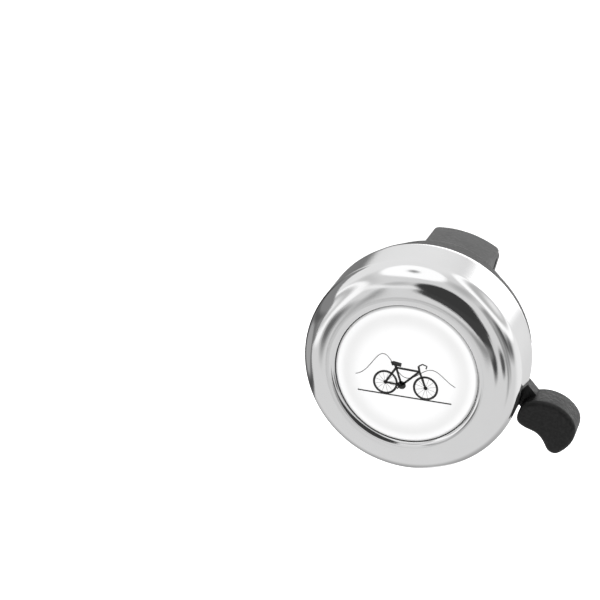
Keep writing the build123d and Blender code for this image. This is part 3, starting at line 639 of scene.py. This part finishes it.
class Print:
    """Flat ink shapes that follow the badge's crown."""

    def __init__(self):
        self.bm = bmesh.new()

    def point(self, x, y):
        """A vertex on the crown."""
        turned_x = x * math.cos(PRINT_TURN) - y * math.sin(PRINT_TURN)
        turned_y = x * math.sin(PRINT_TURN) + y * math.cos(PRINT_TURN)
        height = crown_height(math.hypot(x, y)) + PRINT_LIFT
        return self.bm.verts.new((turned_x * MM, turned_y * MM, RIM + height * MM))

    def stroke(self, points, width, closed=False):
        """A ribbon of even width along a polyline, cut finely enough to follow the crown."""
        fine = []
        following = points[1:] + points[:1] if closed else points[1:]
        for start, end in zip(points, following):
            steps = max(1, int(math.dist(start, end) / RIBBON_STEP))
            fine += line(start, end, steps)[:-1]
        if not closed:
            fine.append(points[-1])
        last = len(fine) - 1
        sides = []
        for index, (x, y) in enumerate(fine):
            before = fine[index - 1] if index or closed else fine[0]
            after = fine[(index + 1) % len(fine)] if index < last or closed else fine[last]
            dx, dy = after[0] - before[0], after[1] - before[1]
            length = math.hypot(dx, dy) or 1.0
            nx, ny = -dy / length * width / 2, dx / length * width / 2
            sides.append((self.point(x + nx, y + ny), self.point(x - nx, y - ny)))
        pairs = list(zip(sides, sides[1:]))
        if closed:
            pairs.append((sides[-1], sides[0]))
        for (a, b), (c, d) in pairs:
            self.bm.faces.new((a, b, d, c))

    def ring(self, centre, radius, width):
        """A circle of ink."""
        points = arc(centre, radius, 0, 360, int(radius * RING_STEPS))
        self.stroke(points[:-1], width, closed=True)

    def disc(self, centre, radius):
        """A filled round spot."""
        hub = self.point(*centre)
        around = [self.point(x, y) for x, y in arc(centre, radius, 0, 360, DISC_STEPS)[:-1]]
        for index, vertex in enumerate(around):
            self.bm.faces.new((hub, vertex, around[(index + 1) % len(around)]))

    def finish(self, name):
        """The shapes as one object."""
        bmesh.ops.recalc_face_normals(self.bm, faces=self.bm.faces)
        data = bpy.data.meshes.new(name)
        self.bm.to_mesh(data)
        self.bm.free()
        piece = bpy.data.objects.new(name, data)
        SCENE.collection.objects.link(piece)
        return piece


def draw_bicycle(ink, ground, size):
    """A plain bicycle seen from the side, with wheels of the given radius."""

    def at(along, up):
        return (along * size, ground + up * size)

    rear, front, crank = at(-1.55, 1.0), at(1.65, 1.0), at(-0.25, 0.95)
    seat, head, stem = at(-0.75, 2.35), at(1.1, 2.3), at(1.0, 2.75)
    tubes = [
        (rear, crank),
        (rear, seat),
        (crank, seat),
        (seat, head),
        (crank, head),
        (head, front),
        (stem, head),
    ]
    saddle = [at(-1.15, 2.62), at(-0.95, 2.7), at(-0.35, 2.62)]
    seat_post = [seat, at(-0.8, 2.6)]
    handlebar = [stem, at(1.3, 2.95), at(1.65, 2.85), at(1.6, 2.6)]
    pedals = [at(-0.6, 0.6), at(0.1, 1.3)]

    for hub in (rear, front):
        ink.ring(hub, size - BOLD / 2, BOLD)
        ink.disc(hub, HUB * size)
        for angle in SPOKE_ANGLES:
            along = (size - BOLD) * math.cos(math.radians(angle))
            up = (size - BOLD) * math.sin(math.radians(angle))
            ink.stroke([(hub[0] - along, hub[1] - up), (hub[0] + along, hub[1] + up)], SPOKE)
    for start, end in tubes:
        ink.stroke([start, end], BOLD)
    ink.disc(crank, CHAINRING * size)
    ink.stroke(saddle, SADDLE * size)
    ink.stroke(seat_post, BOLD)
    ink.stroke(handlebar, MIDDLE)
    ink.stroke(pedals, MIDDLE)


def hills(x):
    """How high the hills stand over the road."""
    return HILL_FOOT + sum(
        height * math.exp(-(((x - middle) / spread) ** 2)) for middle, height, spread in HILLS
    )


def make_print():
    """A plain bicycle on a road, with two smooth hills behind it."""
    ink = Print()
    ink.stroke([(-ROAD_HALF, ROAD), (ROAD_HALF, ROAD)], MIDDLE)
    ridge = [(x, ROAD + hills(x)) for x, _ in line((-HILLS_HALF, 0), (HILLS_HALF, 0), 90)]
    ink.stroke(ridge, THIN)
    draw_bicycle(ink, ROAD, WHEEL)
    return ink.finish("badge_print")


# ---------------------------------------------------------------- stage

FLOOR_SIZE = 4.0
FLOOR_GAP = 0.2 * MM
SUN_POWER = 1.7
SUN_ANGLE = math.radians(50)
SUN_TILT = (math.radians(-12), math.radians(14), 0)


def make_floor():
    """A wide floor just under the clamp."""
    bpy.ops.mesh.primitive_grid_add(
        x_subdivisions=8,
        y_subdivisions=8,
        size=FLOOR_SIZE,
        location=(0, 0, LOWEST - FLOOR_GAP),
    )
    floor = bpy.context.object
    floor.name = "floor"
    floor.data.materials.append(floor_material())
    floor.visible_glossy = False


def make_lamp():
    """A soft overhead sun that lights matt surfaces and leaves no spot in the chrome."""
    data = bpy.data.lights.new("overhead", "SUN")
    data.energy = SUN_POWER
    data.angle = SUN_ANGLE
    lamp = bpy.data.objects.new("overhead", data)
    lamp.rotation_euler = SUN_TILT
    lamp.visible_glossy = False
    SCENE.collection.objects.link(lamp)


# ---------------------------------------------------------------- build

make_camera()
make_world()
make_floor()
make_lamp()

gong = turned("gong_shell", gong_outline())
gong.data.materials.append(chrome_material())
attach(gong, "bell_body")
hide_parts("gong_dome")

badge = turned("badge_dome", badge_outline())
badge.data.materials.append(enamel_material())
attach(badge, "bell_body")
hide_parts("badge_disc")

badge_print = make_print()
badge_print.data.materials.append(ink_material())
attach(badge_print, "bell_body")

dress(foam_material(), "badge_adhesive")
dress(
    plastic_material("housing_plastic", 0.006, 0.34, grain=1400, grain_depth=0.03, wear=0.2),
    "base_housing",
    "clamp_jaw",
)
dress(
    plastic_material("lever_plastic", 0.0035, 0.40, grain=1500, grain_depth=0.14, wear=0.7),
    "thumb_lever",
)
dress(rubber_material(), "bar_liner_upper", "bar_liner_lower")
dress(nylon_material(), "idler_gear")
dress(steel_material("brass", 0.7, 0.28, (1.0, 0.78, 0.42)), "rotor_pinion")
dress(steel_material("clapper_steel", 0.5, 0.32), "clapper_a", "clapper_b")
dress(steel_material("spring_wire", 0.42, 0.28), "lever_return_spring")
dress(
    steel_material("zinc_plate", 0.62, 0.3),
    "dome_threaded_boss",
    "striking_studs",
    "centre_post",
    "post_retaining_clip",
    "rotor_thrust_washer",
    "dome_lock_nut",
    "striker_bar",
    "striker_rivets",
    "idler_pin",
    "lever_pivot_pin",
    "gear_bridge_plate",
    "bridge_plate_screws",
    "clamp_screws",
    "clamp_washers",
    "clamp_nuts",
)
